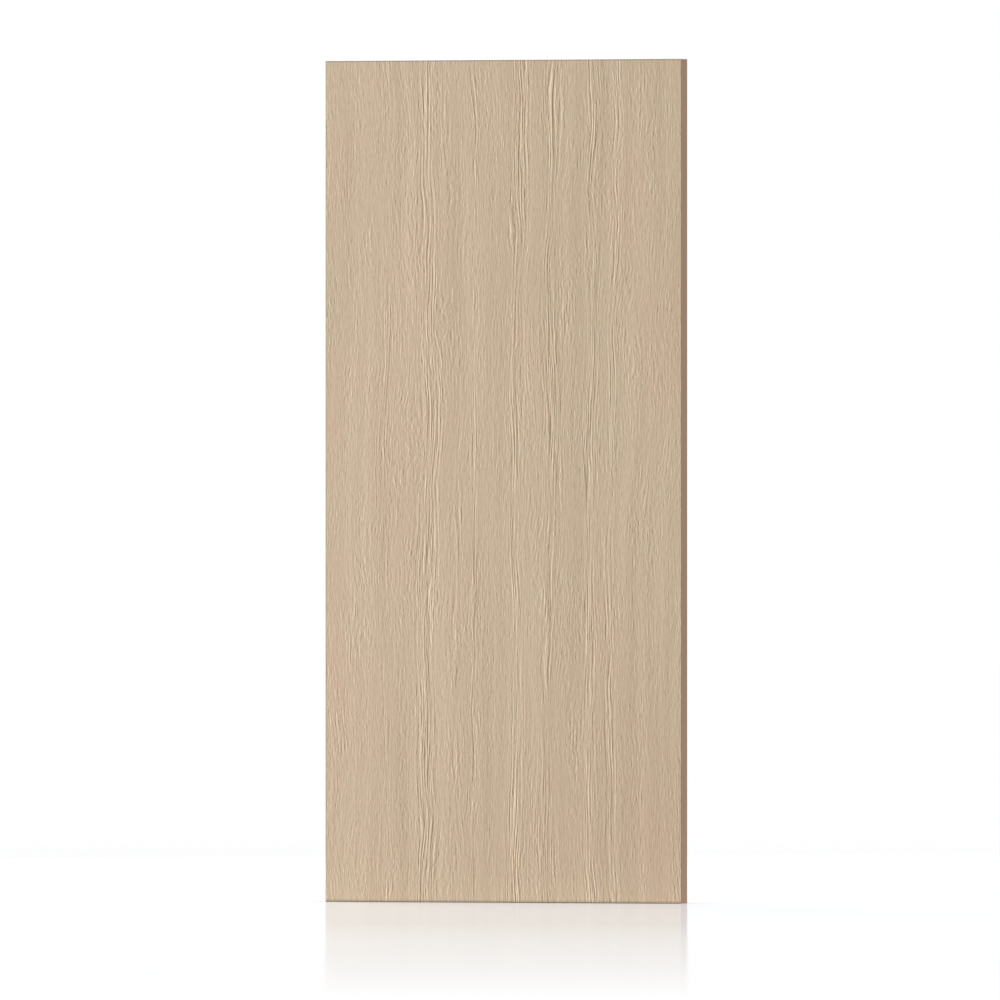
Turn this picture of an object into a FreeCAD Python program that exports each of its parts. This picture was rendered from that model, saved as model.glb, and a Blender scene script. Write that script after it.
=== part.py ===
import FreeCAD, Part

import math
import os

# Flush interior door slab, standing on its bottom edge. All lengths are in millimetres.
#
# A softwood frame of two stiles and two finger-jointed rails holds a core of tubular
# chipboard and a lock block beside each stile. A fibreboard skin is glued over both
# sides, a wood-grain laminate covers each skin, and a plastic band closes each long edge.
# The top and bottom edges are bare, so the sandwich shows there.
#
# +X is to the right seen from the front, -Y is towards the viewer and +Z is up.
# The origin is the middle of the bottom edge.

# The slab over everything.
slab_width = 900.0
slab_height = 2000.0
slab_thickness = 40.0

# The faces: laminate outside, fibreboard under it.
laminate_thickness = 0.8
laminate_arris = 0.5
skin_thickness = 3.2

# The bands on the long edges, with their outer corners rounded.
band_thickness = 2.0
band_radius = 1.5

# The frame. A tongue on each end of a rail is glued into a groove along the stile.
stile_width = 38.0
rail_height = 45.0
tongue_thickness = 10.0
tongue_length = 8.0
tongue_end_gap = 0.5

# The finger joints that make one rail out of short lengths.
finger_length = 10.0
finger_pitch = 6.4
finger_tip = 0.8
top_rail_joints = (-165.0, 120.0)
bottom_rail_joints = (-95.0, 210.0)

# The blocks that a lock case is let into, one beside each stile.
lock_block_width = 80.0
lock_block_height = 400.0
lock_height = 1000.0

# The core planks and the tubes that run up them.
core_plank_count = 3
tube_wall = 4.5
tube_web = 4.5

# Worked out from the sizes above.
frame_thickness = slab_thickness - 2 * (laminate_thickness + skin_thickness)
blank_half_width = slab_width / 2 - band_thickness
core_half_width = blank_half_width - stile_width
core_bottom = rail_height
core_top = slab_height - rail_height
core_plank_width = 2 * core_half_width / core_plank_count

LENGTH_NAMES = ("left", "middle", "right")


def block(x_from, x_to, y_from, y_to, z_from, z_to):
    """A plain box between two corners."""
    corner = FreeCAD.Vector(x_from, y_from, z_from)
    return Part.makeBox(x_to - x_from, y_to - y_from, z_to - z_from, corner)


def raised(outline, z_from, z_to):
    """A plan outline, given as (x, y) points, extruded upwards."""
    corners = [FreeCAD.Vector(x, y, z_from) for x, y in outline]
    face = Part.Face(Part.makePolygon(corners + corners[:1]))
    return face.extrude(FreeCAD.Vector(0, 0, z_to - z_from))


def mirrored(shape):
    """The same piece on the other side of the slab's middle, left for right."""
    return shape.mirror(FreeCAD.Vector(0, 0, 0), FreeCAD.Vector(1, 0, 0))


def turned_to_back(shape):
    """The same piece turned half round the upright axis, from front to back."""
    turned = shape.copy()
    turned.rotate(FreeCAD.Vector(0, 0, 0), FreeCAD.Vector(0, 0, 1), 180)
    return turned


def front_laminate():
    """Laminate sheet, its top and bottom outer edges eased where a hand meets them."""
    face_y = -slab_thickness / 2
    sheet = block(
        -blank_half_width, blank_half_width, face_y, face_y + laminate_thickness, 0, slab_height
    )
    long_arrises = [
        edge
        for edge in sheet.Edges
        if abs(edge.BoundBox.YMax - face_y) < 1e-6 and edge.BoundBox.ZLength < 1e-6
    ]
    return sheet.makeChamfer(laminate_arris, long_arrises)


def front_skin():
    """Fibreboard skin, from the laminate to the frame."""
    inner_y = -frame_thickness / 2
    return block(
        -blank_half_width, blank_half_width, inner_y - skin_thickness, inner_y, 0, slab_height
    )


def right_edge_band():
    """Plastic band over the whole thickness of the slab, rounded at its two outer corners."""
    outer_x = slab_width / 2
    half = slab_thickness / 2
    band = block(outer_x - band_thickness, outer_x, -half, half, 0, slab_height)
    outer_corners = [
        edge
        for edge in band.Edges
        if edge.BoundBox.XMin > outer_x - 1e-3 and edge.BoundBox.ZLength > band_thickness
    ]
    return band.makeFillet(band_radius, outer_corners)


def right_stile():
    """Upright of the frame, with the groove along its inner edge that takes the tongues."""
    inner, outer = core_half_width, blank_half_width
    face = frame_thickness / 2
    lip = tongue_thickness / 2
    groove = inner + tongue_length + tongue_end_gap
    outline = [
        (outer, -face),
        (outer, face),
        (inner, face),
        (inner, lip),
        (groove, lip),
        (groove, -lip),
        (inner, -lip),
        (inner, -face),
    ]
    return raised(outline, 0, slab_height)


def tongued_end(side):
    """Plan outline of a rail's end from front to back. side is -1 on the left, 1 on the right."""
    shoulder = side * core_half_width
    nose = side * (core_half_width + tongue_length)
    face = frame_thickness / 2
    lip = tongue_thickness / 2
    return [
        (shoulder, -face),
        (shoulder, -lip),
        (nose, -lip),
        (nose, lip),
        (shoulder, lip),
        (shoulder, face),
    ]


def fingers(joint_x):
    """Plan outline of a finger joint from front to back: blunt fingers that fill each other."""
    count = max(2, round(frame_thickness / finger_pitch))
    pitch = frame_thickness / count
    reach = finger_length / 2
    half_tip = min(finger_tip, pitch / 4) / 2
    points = [(joint_x - reach, -frame_thickness / 2)]
    for number in range(count):
        root_y = -frame_thickness / 2 + number * pitch
        tip_y = root_y + pitch / 2
        points += [
            (joint_x - reach, root_y + half_tip),
            (joint_x + reach, tip_y - half_tip),
            (joint_x + reach, tip_y + half_tip),
            (joint_x - reach, root_y + pitch - half_tip),
        ]
    return points + [(joint_x - reach, frame_thickness / 2)]


def rail_lengths(joints, z_from, z_to):
    """The short lengths of one rail, left to right, each as its own solid."""
    seams = [tongued_end(-1)] + [fingers(x) for x in joints] + [tongued_end(1)]
    return [
        raised(left + right[::-1], z_from, z_to)
        for left, right in zip(seams, seams[1:])
    ]


def left_lock_block():
    """Solid block between stile and core, at the height of the lock."""
    half = frame_thickness / 2
    middle = lock_height
    return block(
        -core_half_width,
        -core_half_width + lock_block_width,
        -half,
        half,
        middle - lock_block_height / 2,
        middle + lock_block_height / 2,
    )


def core_plank(number):
    """One plank of tubular chipboard, with a notch where it meets a lock block."""
    left = -core_half_width + number * core_plank_width
    half = frame_thickness / 2
    plank = block(left, left + core_plank_width, -half, half, core_bottom, core_top)
    radius = half - tube_wall
    pitch = 2 * radius + tube_web
    count = math.floor((core_plank_width - tube_web) / pitch)
    first = left + core_plank_width / 2 - (count - 1) * pitch / 2
    tubes = [
        Part.makeCylinder(
            radius, core_top - core_bottom, FreeCAD.Vector(first + k * pitch, 0, core_bottom)
        )
        for k in range(count)
    ]
    return plank.cut(tubes + [left_lock_block(), mirrored(left_lock_block())])


def pieces():
    """Every piece of the slab by its name."""
    made = {
        "front_laminate": front_laminate(),
        "back_laminate": turned_to_back(front_laminate()),
        "front_skin": front_skin(),
        "back_skin": turned_to_back(front_skin()),
        "right_edge_band": right_edge_band(),
        "left_edge_band": mirrored(right_edge_band()),
        "right_stile": right_stile(),
        "left_stile": mirrored(right_stile()),
        "left_lock_block": left_lock_block(),
        "right_lock_block": mirrored(left_lock_block()),
    }
    rails = {
        "bottom_rail": rail_lengths(bottom_rail_joints, 0, rail_height),
        "top_rail": rail_lengths(top_rail_joints, core_top, slab_height),
    }
    for rail, lengths in rails.items():
        for name, length in zip(LENGTH_NAMES, lengths):
            made[f"{rail}_{name}"] = length
    for number in range(core_plank_count):
        made[f"core_plank_{number + 1}"] = core_plank(number)
    return made


os.makedirs("parts", exist_ok=True)
for name, shape in pieces().items():
    shape.exportStep(os.path.join("parts", f"{name}.step"))
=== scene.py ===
import math

import bmesh
import bpy
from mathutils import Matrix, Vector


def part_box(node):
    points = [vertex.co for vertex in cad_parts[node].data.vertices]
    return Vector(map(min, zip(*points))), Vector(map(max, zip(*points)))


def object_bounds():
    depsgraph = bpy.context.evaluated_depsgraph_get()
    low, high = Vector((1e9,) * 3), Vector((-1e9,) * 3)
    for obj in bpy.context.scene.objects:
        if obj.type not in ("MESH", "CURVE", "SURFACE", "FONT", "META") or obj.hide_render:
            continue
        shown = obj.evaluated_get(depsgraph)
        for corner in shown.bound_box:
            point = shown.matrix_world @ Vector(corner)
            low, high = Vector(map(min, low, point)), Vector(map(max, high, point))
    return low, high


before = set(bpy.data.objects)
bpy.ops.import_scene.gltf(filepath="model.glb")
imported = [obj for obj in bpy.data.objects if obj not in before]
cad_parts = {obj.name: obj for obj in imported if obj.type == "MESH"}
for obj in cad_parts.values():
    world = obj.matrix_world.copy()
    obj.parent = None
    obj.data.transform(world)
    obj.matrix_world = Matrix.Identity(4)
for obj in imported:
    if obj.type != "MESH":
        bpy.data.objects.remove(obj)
cad_low, cad_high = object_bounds()

# The camera.
# The photograph looks square on at the face with its right edge just showing. A long lens
# from far off, a little round to the right, comes near that without any lens shift, but it
# makes the face and the edge narrower.
PICTURE_PIXELS = 1000
DOOR_TOP_PIXEL = 60.2
DOOR_BOTTOM_PIXEL = 902.4
DOOR_MIDDLE_PIXEL = 506.0
CAMERA_TURN = math.radians(20)
CAMERA_DISTANCE = 60.0
SENSOR_WIDTH = 36.0

door_height = cad_high.z - cad_low.z
pixels_per_metre = (DOOR_BOTTOM_PIXEL - DOOR_TOP_PIXEL) / door_height
camera_height = cad_low.z + (DOOR_BOTTOM_PIXEL - PICTURE_PIXELS / 2) / pixels_per_metre
sideways = (PICTURE_PIXELS / 2 - DOOR_MIDDLE_PIXEL) / pixels_per_metre

camera_data = bpy.data.cameras.new("camera")
camera_data.sensor_width = SENSOR_WIDTH
camera_data.lens = SENSOR_WIDTH * CAMERA_DISTANCE * pixels_per_metre / PICTURE_PIXELS
camera_data.clip_end = 4 * CAMERA_DISTANCE
camera = bpy.data.objects.new("camera", camera_data)
camera.location = (
    CAMERA_DISTANCE * math.sin(CAMERA_TURN) + sideways * math.cos(CAMERA_TURN),
    -CAMERA_DISTANCE * math.cos(CAMERA_TURN) + sideways * math.sin(CAMERA_TURN),
    camera_height,
)
camera.rotation_euler = (math.radians(90), 0, CAMERA_TURN)
bpy.context.scene.collection.objects.link(camera)
bpy.context.scene.camera = camera
bpy.context.scene.view_settings.view_transform = "Standard"


# The light.
# Plain studio light: a white room all round and three softboxes. One stands in front to the
# left, so that the right edge is dimmer than the face, one at the right and one behind.
def place(tree, kind, options=None, values=None, **inputs):
    """Adds a node. Inputs go by name, with _ for a space; sockets are linked, others are set."""
    node = tree.nodes.new(kind)
    for name, value in (options or {}).items():
        setattr(node, name, value)
    for key, value in [*enumerate(values or ()), *inputs.items()]:
        if value is None:
            continue
        socket = node.inputs[key.replace("_", " ") if isinstance(key, str) else key]
        if isinstance(value, bpy.types.NodeSocket):
            tree.links.new(value, socket)
        else:
            socket.default_value = value
    return node


def calculate(tree, operation, *values, clamp=False):
    """One step of arithmetic on numbers or sockets."""
    options = {"operation": operation, "use_clamp": clamp}
    return place(tree, "ShaderNodeMath", options, values).outputs[0]


ROOM_LIGHT = 0.50
SOFTBOX_DISTANCE = 6.2

world = bpy.data.worlds.new("studio")
world.use_nodes = True
room = world.node_tree
room.nodes.clear()
path = place(room, "ShaderNodeLightPath")
seen = calculate(room, "MAXIMUM", path.outputs["Is Camera Ray"], path.outputs["Is Glossy Ray"])
seen = calculate(room, "MAXIMUM", seen, path.outputs["Is Transmission Ray"])
strength = calculate(room, "MULTIPLY_ADD", seen, 1 - ROOM_LIGHT, ROOM_LIGHT)
glow = place(room, "ShaderNodeBackground", Color=(1, 1, 1, 1), Strength=strength)
place(room, "ShaderNodeOutputWorld", Surface=glow.outputs[0])
bpy.context.scene.world = world


def hang_softbox(name, power, size, azimuth, height):
    """A square softbox that faces the middle of the slab. The azimuth is in degrees."""
    lamp = bpy.data.lights.new(name, "AREA")
    lamp.shape = "SQUARE"
    lamp.size = size
    lamp.energy = power
    turn = math.radians(azimuth)
    tilt = math.atan2(height - door_height / 2, SOFTBOX_DISTANCE)
    softbox = bpy.data.objects.new(name, lamp)
    softbox.location = (
        SOFTBOX_DISTANCE * math.sin(turn),
        -SOFTBOX_DISTANCE * math.cos(turn),
        height,
    )
    softbox.rotation_euler = (math.radians(90) - tilt, 0, turn)
    softbox.visible_camera = False
    bpy.context.scene.collection.objects.link(softbox)


hang_softbox("front_softbox", power=197, size=2.6, azimuth=-28, height=1.9)
hang_softbox("side_softbox", power=92, size=2.0, azimuth=78, height=2.6)
hang_softbox("back_softbox", power=280, size=2.6, azimuth=226, height=3.2)

# The floor.
# A smooth white floor that mirrors the foot of the slab faintly and keeps its shadow. Close
# to the slab it throws some more light back, so that the slab doesn't dim towards its foot.
FLOOR_RADIUS = 90.0
FLOOR_TONE = (0.36, 0.36, 0.36, 1)
FLOOR_FILL = 0.82
FLOOR_SHADE_REACH = 0.2
FLOOR_GLOSS = 0.57
FLOOR_GLOSS_FULL = 3.0
FLOOR_GLOSS_REACH = 11.6
MIRROR_TONE = (0.95, 0.97, 1.0, 1)
MIRROR_ROUGHNESS = 0.10
MIRROR_INDEX = 1.45
FOOT_GLOW = 0.34
FOOT_GLOW_REACH = 0.20

floor_mesh = bmesh.new()
bmesh.ops.create_circle(floor_mesh, cap_ends=True, segments=96, radius=FLOOR_RADIUS)
floor_data = bpy.data.meshes.new("floor")
floor_mesh.to_mesh(floor_data)
floor_mesh.free()
floor = bpy.data.objects.new("floor", floor_data)
bpy.context.scene.collection.objects.link(floor)


def new_material(name):
    """An empty material and its node tree."""
    material = bpy.data.materials.new(name)
    material.use_nodes = True
    material.node_tree.nodes.clear()
    return material, material.node_tree


def between(tree, value, low, high, to_low=0.0, to_high=1.0):
    """Carries a value from one range to another and stops it at the ends."""
    return place(
        tree,
        "ShaderNodeMapRange",
        Value=value,
        From_Min=low,
        From_Max=high,
        To_Min=to_low,
        To_Max=to_high,
    ).outputs[0]


floor_paint, tree = new_material("floor_paint")
where = place(tree, "ShaderNodeTexCoord").outputs["Object"]
away = place(tree, "ShaderNodeVectorMath", {"operation": "LENGTH"}, [where]).outputs["Value"]
fade = between(tree, away, FLOOR_GLOSS_FULL, FLOOR_GLOSS_REACH, FLOOR_GLOSS, 0.0)
fresnel = place(tree, "ShaderNodeFresnel", IOR=MIRROR_INDEX).outputs[0]
share = calculate(tree, "MULTIPLY", fade, fresnel)
path = place(tree, "ShaderNodeLightPath")
open_sky = place(tree, "ShaderNodeAmbientOcclusion", Distance=FLOOR_SHADE_REACH).outputs["AO"]
white = calculate(tree, "MULTIPLY", path.outputs["Is Camera Ray"], FLOOR_FILL)
white = calculate(tree, "MULTIPLY", white, open_sky)
depth = place(tree, "ShaderNodeSeparateXYZ", values=[where]).outputs[1]
depth = calculate(tree, "ABSOLUTE", depth)
foot_glow = between(tree, depth, 0.0, FOOT_GLOW_REACH, FOOT_GLOW, 0.0)
strength = calculate(tree, "MULTIPLY_ADD", path.outputs["Is Diffuse Ray"], foot_glow, white)
fill = place(tree, "ShaderNodeEmission", Color=(1, 1, 1, 1), Strength=strength)
matt = place(tree, "ShaderNodeBsdfDiffuse", Color=FLOOR_TONE)
lit = place(tree, "ShaderNodeAddShader", values=[matt.outputs[0], fill.outputs[0]])
mirror = place(tree, "ShaderNodeBsdfGlossy", Color=MIRROR_TONE, Roughness=MIRROR_ROUGHNESS)
blend = place(tree, "ShaderNodeMixShader", values=[share, lit.outputs[0], mirror.outputs[0]])
place(tree, "ShaderNodeOutputMaterial", Surface=blend.outputs[0])
floor_data.materials.append(floor_paint)

# The frame.
# Two upright stiles and two rails of planed softwood, each rail finger-jointed from three
# short lengths. Tongues on the rails are glued into a groove along each stile.
EARLY_WOOD = (0.735, 0.550, 0.335, 1)
LATE_WOOD = (0.470, 0.285, 0.135, 1)
GLUE_LINE = (0.300, 0.190, 0.100, 1)
GLUE_DEPTH = 0.0004
FRAME_FACE = 0.016
LYING = (0, math.radians(90), 0)
SAW_PITCH = 0.0017
SAW_WANDER = 0.004
SWAY = (0.014, 0.014, 0)


def stretched(tree, where, scale):
    """A place counted in spots: scale holds the number of spots to the metre on each axis."""
    return place(tree, "ShaderNodeVectorMath", {"operation": "MULTIPLY"}, [where, scale]).outputs[0]


def noise(tree, where, scale, detail=2.0, roughness=0.5):
    """Smooth noise, with scale as the number of spots to the metre on each axis."""
    return place(
        tree,
        "ShaderNodeTexNoise",
        Vector=stretched(tree, where, scale),
        Scale=1.0,
        Detail=detail,
        Roughness=roughness,
    ).outputs["Fac"]


def mixed(tree, share, first, second, blend="MIX"):
    """A colour between two others, or the first changed by the second."""
    options = {"data_type": "RGBA", "blend_type": blend}
    values = [share, None, None, None, None, None, first, second]
    return place(tree, "ShaderNodeMix", options, values).outputs[2]


def bumped(tree, strength, distance, height, normal=None):
    """The surface's direction with a relief on it. The distance is in metres."""
    return place(
        tree,
        "ShaderNodeBump",
        Strength=strength,
        Distance=distance,
        Height=height,
        Normal=normal,
    ).outputs[0]


def surface(tree, colour, roughness, specular, normal):
    """Ends a material with its surface."""
    shader = place(
        tree,
        "ShaderNodeBsdfPrincipled",
        Base_Color=colour,
        Roughness=roughness,
        Specular_IOR_Level=specular,
        Normal=normal,
    )
    place(tree, "ShaderNodeOutputMaterial", Surface=shader.outputs[0])


def dress(material, *names):
    """Gives a material to the CAD nodes of these names."""
    for name in names:
        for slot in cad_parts[name].material_slots:
            slot.material = material


def new_effect(name, takes, gives):
    """An empty node group and its inputs. Each socket's name comes with its kind or value."""
    effect = bpy.data.node_groups.new(name, "ShaderNodeTree")
    for label, value in takes.items():
        kind = {float: "Float", tuple: "Color"}.get(type(value), "Vector")
        kind = "NodeSocket" + kind
        socket = effect.interface.new_socket(label, in_out="INPUT", socket_type=kind)
        if value is not None:
            socket.default_value = value
    for label, kind in gives.items():
        effect.interface.new_socket(label, in_out="OUTPUT", socket_type="NodeSocket" + kind)
    return effect, effect.nodes.new("NodeGroupInput").outputs


# What the trimming saw leaves on the bare top and bottom edges: fine ridges across them.
saw_marks, taken = new_effect("saw_marks", {"Place": None}, {"Height": "Float"})
spots = noise(saw_marks, taken["Place"], (60, 25, 60), 1.0)
along = place(saw_marks, "ShaderNodeSeparateXYZ", values=[taken["Place"]]).outputs[0]
along = calculate(saw_marks, "MULTIPLY_ADD", spots, SAW_WANDER, along)
along = calculate(saw_marks, "MULTIPLY", along, 2 * math.pi / SAW_PITCH)
ridges = calculate(saw_marks, "SINE", along)
depth = between(saw_marks, noise(saw_marks, taken["Place"], (22, 9, 9), 1.0), 0.35, 0.65)
place(saw_marks, "NodeGroupOutput", Height=calculate(saw_marks, "MULTIPLY", ridges, depth))

# Softwood with its grain along Z and its pith at the middle: rings of pale early wood that
# end in a thin dark line, and fine fibres along the grain.
softwood, taken = new_effect(
    "softwood",
    {"Place": None, "Ring Width": 0.003, "Early": EARLY_WOOD, "Late": LATE_WOOD},
    {"Color": "Color", "Height": "Float"},
)
sway = place(
    softwood,
    "ShaderNodeTexNoise",
    Vector=stretched(softwood, taken["Place"], (9, 9, 1.2)),
    Scale=1.0,
    Detail=1.0,
).outputs["Color"]
swayed = place(
    softwood,
    "ShaderNodeVectorMath",
    {"operation": "MULTIPLY_ADD"},
    [sway, SWAY, taken["Place"]],
).outputs[0]
flat = stretched(softwood, swayed, (1, 1, 0))
radius = place(softwood, "ShaderNodeVectorMath", {"operation": "LENGTH"}, [flat])
rings = calculate(softwood, "DIVIDE", radius.outputs["Value"], taken["Ring Width"])
ring = calculate(softwood, "FRACT", rings)
late = calculate(softwood, "POWER", ring, 3.2)
late = calculate(softwood, "MULTIPLY", late, between(softwood, ring, 0.97, 1.0, 1.0, 0.0))
fibres = noise(softwood, swayed, (1100, 1100, 22), 2.0)
cloud = noise(softwood, swayed, (45, 45, 1.4), 2.0)
wood = mixed(softwood, late, taken["Early"], taken["Late"])
threads = between(softwood, fibres, 0.30, 0.70, 0.30, 0.0)
wood = mixed(softwood, threads, wood, (0.55, 0.45, 0.36, 1), "MULTIPLY")
darker = between(softwood, cloud, 0.35, 0.65, 0.0, 0.35)
wood = mixed(softwood, darker, wood, (0.80, 0.70, 0.60, 1), "MULTIPLY")
relief = calculate(softwood, "MULTIPLY_ADD", late, 0.6, fibres)
place(softwood, "NodeGroupOutput", Color=wood, Height=relief)


def cut_timber(name, ring_width, pith, tone, turn=(0, 0, 0)):
    """Softwood for one piece. The pith is in metres from the middle of the piece."""
    material, tree = new_material(name)
    low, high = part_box(name)
    middle = [(low[k] + high[k]) / 2 + pith[k] for k in range(3)]
    where = place(tree, "ShaderNodeTexCoord").outputs["Object"]
    log = place(
        tree,
        "ShaderNodeMapping",
        {"vector_type": "TEXTURE"},
        Vector=where,
        Location=middle,
        Rotation=turn,
    )
    wood = place(
        tree,
        "ShaderNodeGroup",
        {"node_tree": softwood},
        Place=log.outputs[0],
        Ring_Width=ring_width,
        Early=[a * b for a, b in zip(EARLY_WOOD, tone)] + [1],
        Late=[a * b for a, b in zip(LATE_WOOD, tone)] + [1],
    )
    depth = place(tree, "ShaderNodeSeparateXYZ", values=[where]).outputs[1]
    depth = calculate(tree, "ABSOLUTE", depth)
    glue = between(tree, depth, FRAME_FACE - GLUE_DEPTH, FRAME_FACE - GLUE_DEPTH / 2)
    colour = mixed(tree, glue, wood.outputs["Color"], GLUE_LINE)
    roughness = between(tree, wood.outputs["Height"], 0.3, 1.2, 0.72, 0.58)
    saw = place(tree, "ShaderNodeGroup", {"node_tree": saw_marks}, Place=where)
    grain = bumped(tree, 0.6, 0.0002, wood.outputs["Height"])
    ridges = bumped(tree, 0.35, 0.0001, saw.outputs["Height"], grain)
    surface(tree, colour, roughness, 0.4, ridges)
    dress(material, name)


cut_timber("left_stile", 0.0027, (0.046, 0.024, 0), (1.0, 0.99, 0.97))
cut_timber("right_stile", 0.0034, (-0.038, -0.045, 0), (0.94, 0.90, 0.84))
cut_timber("bottom_rail_left", 0.0031, (0, 0.030, 0.020), (0.97, 0.95, 0.92), LYING)
cut_timber("bottom_rail_middle", 0.0024, (0, -0.012, 0.050), (1.04, 1.03, 1.01), LYING)
cut_timber("bottom_rail_right", 0.0037, (0, 0.022, -0.034), (0.90, 0.84, 0.77), LYING)
cut_timber("top_rail_left", 0.0029, (0, -0.020, -0.040), (1.02, 1.01, 1.00), LYING)
cut_timber("top_rail_middle", 0.0036, (0, 0.034, -0.008), (0.90, 0.85, 0.79), LYING)
cut_timber("top_rail_right", 0.0025, (0, -0.006, -0.055), (0.98, 0.96, 0.92), LYING)

# The lock blocks.
# Two blocks of sawn fibreboard, one glued beside each stile at the height of the lock, so
# that a lock case can be let into either edge.
BLOCK_TONE = (0.479, 0.332, 0.195, 1)
BLOCK_DARK = (0.300, 0.195, 0.108, 1)
BLOCK_PALE = (0.640, 0.480, 0.310, 1)

pressed_fibre, taken = new_effect(
    "pressed_fibre",
    {"Place": None, "Tone": BLOCK_TONE, "Dark": BLOCK_DARK, "Pale": BLOCK_PALE},
    {"Color": "Color", "Height": "Float"},
)
specks = noise(pressed_fibre, taken["Place"], (1500, 1500, 1500), 3.0)
tufts = noise(pressed_fibre, taken["Place"], (260, 900, 260), 3.0)
dark_spots = between(pressed_fibre, specks, 0.45, 0.70)
board = mixed(pressed_fibre, dark_spots, taken["Tone"], taken["Dark"])
pale_tufts = between(pressed_fibre, tufts, 0.52, 0.75, 0.0, 0.8)
board = mixed(pressed_fibre, pale_tufts, board, taken["Pale"])
place(pressed_fibre, "NodeGroupOutput", Color=board, Height=specks)

block_board, tree = new_material("lock_block_board")
where = place(tree, "ShaderNodeTexCoord").outputs["Object"]
board = place(tree, "ShaderNodeGroup", {"node_tree": pressed_fibre}, Place=where)
rough = bumped(tree, 0.7, 0.0002, board.outputs["Height"])
surface(tree, board.outputs["Color"], 0.85, 0.3, rough)
dress(block_board, "left_lock_block", "right_lock_block")

# The core.
# Three planks of extruded chipboard with tubes running up them, laid side by side in the frame.
# Coarse chips lie across the tubes, with painted shade darkening the gaps between them.
CHIP_PALE = (0.600, 0.445, 0.275, 1)
CHIP_BROWN = (0.290, 0.185, 0.098, 1)
CHIP_GAP_SHADE = (0.090, 0.052, 0.028, 1)
CHIPS = (130, 240, 520)

chipboard, tree = new_material("core_chipboard")
where = place(tree, "ShaderNodeTexCoord").outputs["Object"]
spread = stretched(tree, where, CHIPS)
chips = place(tree, "ShaderNodeTexVoronoi", Vector=spread, Scale=1.0)
to_edge = {"feature": "DISTANCE_TO_EDGE"}
gaps = place(tree, "ShaderNodeTexVoronoi", to_edge, Vector=spread, Scale=1.0).outputs["Distance"]
choice = place(tree, "ShaderNodeSeparateColor", values=[chips.outputs["Color"]]).outputs[0]
colour = mixed(tree, choice, CHIP_PALE, CHIP_BROWN)
fibres = between(tree, noise(tree, where, (220, 900, 900)), 0.3, 0.7, 0.0, 0.4)
colour = mixed(tree, fibres, colour, (0.55, 0.45, 0.35, 1), "MULTIPLY")
# The gaps between the chips are painted near black: painted shade in the hollows.
colour = mixed(tree, between(tree, gaps, 0.0, 0.07, 0.8, 0.0), colour, CHIP_GAP_SHADE)
surface(tree, colour, 0.9, 0.25, bumped(tree, 0.8, 0.0006, gaps))
dress(chipboard, "core_plank_1", "core_plank_2", "core_plank_3")

# The skins.
# A thin hard fibreboard, 3.2 mm, glued over each side of the frame and core. Only its sawn
# top and bottom edges show: brown and close, and darker where its faces were pressed hardest.
SKIN_TONE = (0.292, 0.168, 0.087, 1)
SKIN_DARK = (0.165, 0.088, 0.043, 1)
SKIN_PALE = (0.440, 0.275, 0.155, 1)
SKIN_MIDDLE = 0.0176

skin_board, tree = new_material("skin_board")
where = place(tree, "ShaderNodeTexCoord").outputs["Object"]
board = place(
    tree,
    "ShaderNodeGroup",
    {"node_tree": pressed_fibre},
    Place=where,
    Tone=SKIN_TONE,
    Dark=SKIN_DARK,
    Pale=SKIN_PALE,
)
depth = place(tree, "ShaderNodeSeparateXYZ", values=[where]).outputs[1]
depth = calculate(tree, "SUBTRACT", calculate(tree, "ABSOLUTE", depth), SKIN_MIDDLE)
pressed = between(tree, calculate(tree, "ABSOLUTE", depth), 0.0006, 0.0015, 0.0, 0.65)
colour = mixed(tree, pressed, board.outputs["Color"], SKIN_DARK)
saw = place(tree, "ShaderNodeGroup", {"node_tree": saw_marks}, Place=where)
rough = bumped(tree, 0.6, 0.0002, board.outputs["Height"])
ridges = bumped(tree, 0.3, 0.0001, saw.outputs["Height"], rough)
surface(tree, colour, 0.78, 0.35, ridges)
dress(skin_board, "front_skin", "back_skin")

# The laminate faces.
# Each is one sheet of wood-grain laminate, 0.8 mm thick and pressed onto the skin: a printed
# oak paper under a clear matt coat, with pores pressed into it, over a dark brown core.
LAMINATE_TONE = (0.598, 0.465, 0.321, 1)
LAMINATE_PALE = (0.882, 0.734, 0.536, 1)
LAMINATE_DARK = (0.310, 0.205, 0.122, 1)
LAMINATE_CORE = (0.070, 0.042, 0.028, 1)
BROAD_PALE = (1.058, 1.064, 1.075, 1)
BROAD_DARK = (0.942, 0.936, 0.925, 1)
BLUSH = (1.048, 0.962, 0.988, 1)

# How far the line of bared core and the painted shade over it reach from the foot and the head, and
# how strong the painted shade is where it starts.
FOOT_LINE = 0.0011
HEAD_LINE = 0.0009
FOOT_SHADE = 0.0066
HEAD_SHADE = 0.0042
FOOT_SHADE_FORCE = 0.90
HEAD_SHADE_FORCE = 0.60
PAINTED_SHADE_TONE = (0.60, 0.57, 0.55, 1)

# The coarse streaks of the print: the middle of each, its half width and its force. A colour
# ramp a metre wide carries them, with the middle of the slab at its middle.
STREAKS = (
    (-0.300, 0.030, 0.35),
    (-0.192, 0.034, 1.00),
    (-0.118, 0.030, 0.35),
    (-0.083, 0.016, 0.80),
    (0.036, 0.034, 0.95),
    (0.119, 0.036, 0.85),
    (0.222, 0.026, 0.95),
    (0.275, 0.022, 0.90),
)
RAMP_MIDDLE = 0.5

# The lines of the print, from long to short, and its pores, as spots to the metre on each axis. The
# pale and the dark side of a line, a painted highlight and a painted shade over the print, each
# stand half a line's width from its middle.
STRAND = (216, 40, 6.5)
DASH = (240, 40, 30)
TICK = (250, 40, 85)
PORE = (1100, 40, 55)
PORE_SHADE = (0.70, 0.66, 0.60, 1)
HALF_LINE = 0.00085


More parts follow.
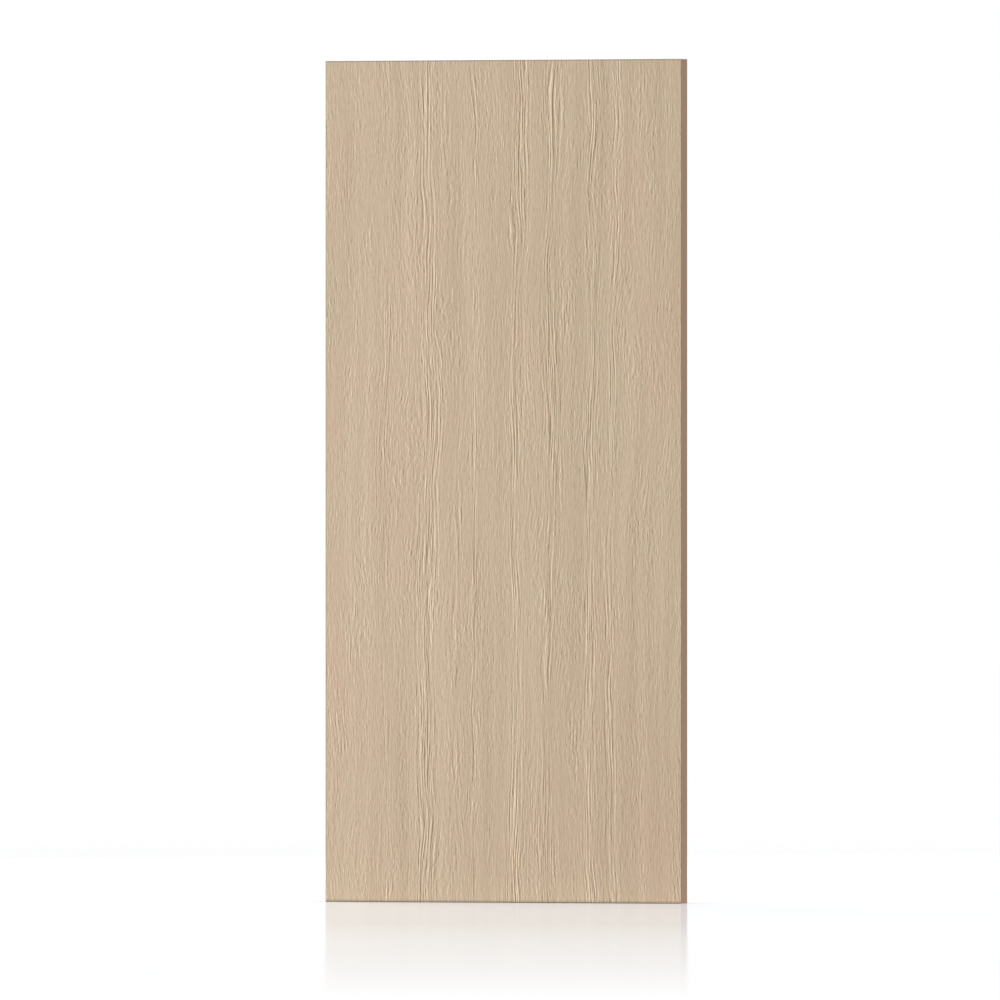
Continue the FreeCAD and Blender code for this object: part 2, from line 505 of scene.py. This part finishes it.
def bent(tree, where, *bends):
    """Moves a place sideways by each of the noises given, in metres from its middle value."""
    apart = place(tree, "ShaderNodeSeparateXYZ", values=[where])
    across = apart.outputs[0]
    for bend, reach in bends:
        shift = calculate(tree, "SUBTRACT", bend, 0.5)
        across = calculate(tree, "MULTIPLY_ADD", shift, reach, across)
    return place(
        tree, "ShaderNodeCombineXYZ", values=[across, apart.outputs[1], apart.outputs[2]]
    ).outputs[0]


def lines_with_painted_relief(tree, where, scale):
    """Lines pressed into the sheet, drawn in colour: each is pale on one side and dark on the
    other, which is print with a painted highlight and painted shade of the pressing.
    """
    step = (HALF_LINE, 0, 0)
    left = place(tree, "ShaderNodeVectorMath", {"operation": "SUBTRACT"}, [where, step])
    right = place(tree, "ShaderNodeVectorMath", {"operation": "ADD"}, [where, step])
    return calculate(
        tree,
        "SUBTRACT",
        noise(tree, right.outputs[0], scale, 3.0, 0.6),
        noise(tree, left.outputs[0], scale, 3.0, 0.6),
    )


laminate, tree = new_material("laminate")
where = place(tree, "ShaderNodeTexCoord").outputs["Object"]
flow = bent(
    tree,
    where,
    (noise(tree, where, (3, 40, 0.8), 1.0), 0.08),
    (noise(tree, where, (11, 40, 4.0), 1.0), 0.035),
    (noise(tree, where, (40, 40, 10), 1.0), 0.005),
)
across = place(tree, "ShaderNodeSeparateXYZ", values=[flow]).outputs[0]
streaks = place(tree, "ShaderNodeValToRGB", Fac=calculate(tree, "ADD", across, RAMP_MIDDLE))
stops = streaks.color_ramp.elements
stops[0].color = stops[1].color = (0, 0, 0, 1)
for middle, reach, force in STREAKS:
    for offset, level in ((-reach, 0), (0, force), (reach, 0)):
        stops.new(middle + offset + RAMP_MIDDLE).color = (level, level, level, 1)

# Strands are strongest in the streaks. Dashes and ticks lie all over the sheet, in patches.
patches = between(tree, noise(tree, flow, (28, 40, 3.0), 1.0), 0.3, 0.7, 0.3, 1.7)
force = calculate(tree, "MULTIPLY", streaks.outputs[0], patches)
force = calculate(tree, "MULTIPLY_ADD", force, 2.5, 0.25)
# Each line's pale and dark sides are a painted highlight and painted shade of its relief, laid over
# the print.
strands = calculate(tree, "MULTIPLY", lines_with_painted_relief(tree, flow, STRAND), force)
patches = between(tree, noise(tree, flow, (24, 40, 5.0), 1.0), 0.35, 0.65, 0.50, 1.30)
dashes = calculate(tree, "MULTIPLY", lines_with_painted_relief(tree, flow, DASH), patches)
patches = between(tree, noise(tree, flow, (19, 40, 9.0), 1.0), 0.40, 0.62, 0.15, 0.75)
ticks = calculate(tree, "MULTIPLY", lines_with_painted_relief(tree, flow, TICK), patches)
lines = calculate(tree, "ADD", strands, calculate(tree, "ADD", dashes, ticks))
sharper = calculate(tree, "MULTIPLY_ADD", calculate(tree, "ABSOLUTE", lines), 2.3, 0.74)
lines = calculate(tree, "MULTIPLY", lines, sharper)
level = calculate(tree, "ADD", lines, 0.5, clamp=True)
print_ramp = place(tree, "ShaderNodeValToRGB", Fac=level)
print_ramp.color_ramp.elements[0].color = LAMINATE_DARK
print_ramp.color_ramp.elements[1].color = LAMINATE_PALE
print_ramp.color_ramp.elements.new(0.5).color = LAMINATE_TONE
colour = print_ramp.outputs[0]

# Broad pale and dark bands, the pores, and a faint blush that is stronger towards the sides.
shade = between(tree, noise(tree, flow, (30, 40, 0.9), 2.0), 0.30, 0.70)
shade = mixed(tree, shade, BROAD_DARK, BROAD_PALE)
colour = mixed(tree, 1.0, colour, shade, "MULTIPLY")
pits = noise(tree, where, PORE, 1.0)
pores = between(tree, pits, 0.58, 0.72, 0.0, 0.8)
colour = mixed(tree, pores, colour, PORE_SHADE, "MULTIPLY")
apart = place(tree, "ShaderNodeSeparateXYZ", values=[where])
margin = between(tree, calculate(tree, "ABSOLUTE", apart.outputs[0]), 0.24, 0.44, 0.25, 1.0)
blush = between(tree, noise(tree, where, (7, 40, 2.6), 2.0), 0.45, 0.68)
blush = calculate(tree, "MULTIPLY", blush, margin)
colour = mixed(tree, blush, colour, BLUSH, "MULTIPLY")

# Both sawn ends are filed, which bares the core in a thin line. Over it a soft painted shade
# darkens the face along the foot, and more faintly along the head.
foot = apart.outputs[2]
head = calculate(tree, "SUBTRACT", cad_high.z, foot)
painted_shade = calculate(
    tree,
    "MAXIMUM",
    between(tree, foot, FOOT_LINE, FOOT_SHADE, FOOT_SHADE_FORCE, 0.0),
    between(tree, head, HEAD_LINE, HEAD_SHADE, HEAD_SHADE_FORCE, 0.0),
)
# Painted shade: the face is darkened along its foot and its head.
colour = mixed(tree, painted_shade, colour, PAINTED_SHADE_TONE, "MULTIPLY")
bared = calculate(
    tree,
    "MAXIMUM",
    calculate(tree, "LESS_THAN", foot, FOOT_LINE),
    calculate(tree, "LESS_THAN", head, HEAD_LINE),
)
colour = mixed(tree, bared, colour, LAMINATE_CORE)
roughness = between(tree, level, 0.35, 0.65, 0.62, 0.50)
surface(tree, colour, roughness, 0.35, bumped(tree, 0.4, -0.0003, pits))
dress(laminate, "front_laminate", "back_laminate")

# The edge bands.
# A 2 mm plastic band glued over each long edge of the slab with hot glue and scraped to a small
# radius at its two corners. Browner than the faces, satin, with faint upright streaks. The scraped
# corners are darker, partly their own tone and partly painted shade.
BAND_TONE = (0.405, 0.264, 0.156, 1)
BAND_PINK = (0.430, 0.253, 0.156, 1)
BAND_DARK = (0.323, 0.201, 0.119, 1)
BAND_SCRAPED_AND_SHADED = (0.333, 0.227, 0.146, 1)
SCRAPED = 0.0186
SCRAPED_FADE = 0.0003

# The colour drifts from brown at the front to pink at the back, unevenly up the band.
band_plastic, tree = new_material("edge_band")
where = place(tree, "ShaderNodeTexCoord").outputs["Object"]
depth = place(tree, "ShaderNodeSeparateXYZ", values=[where]).outputs[1]
drift = noise(tree, where, (40, 40, 0.7), 1.0)
broad = between(tree, calculate(tree, "MULTIPLY_ADD", drift, 0.02, depth), -0.002, 0.022)
colour = mixed(tree, broad, BAND_TONE, BAND_PINK)
fine = between(tree, noise(tree, where, (700, 700, 6.0), 2.0), 0.45, 0.75, 0.0, 0.7)
colour = mixed(tree, fine, colour, BAND_DARK)
depth = calculate(tree, "ABSOLUTE", depth)
# Scraped corners: a darker tone, partly the scraped plastic's own and partly painted shade.
scraped_and_shaded = between(tree, depth, SCRAPED - SCRAPED_FADE, SCRAPED + SCRAPED_FADE)
colour = mixed(tree, scraped_and_shaded, colour, BAND_SCRAPED_AND_SHADED)
roughness = calculate(tree, "MULTIPLY_ADD", scraped_and_shaded, -0.08, 0.48)
texture = noise(tree, where, (2200, 2200, 900), 1.0)
surface(tree, colour, roughness, 0.40, bumped(tree, 0.25, 0.0001, texture))
dress(band_plastic, "left_edge_band", "right_edge_band")
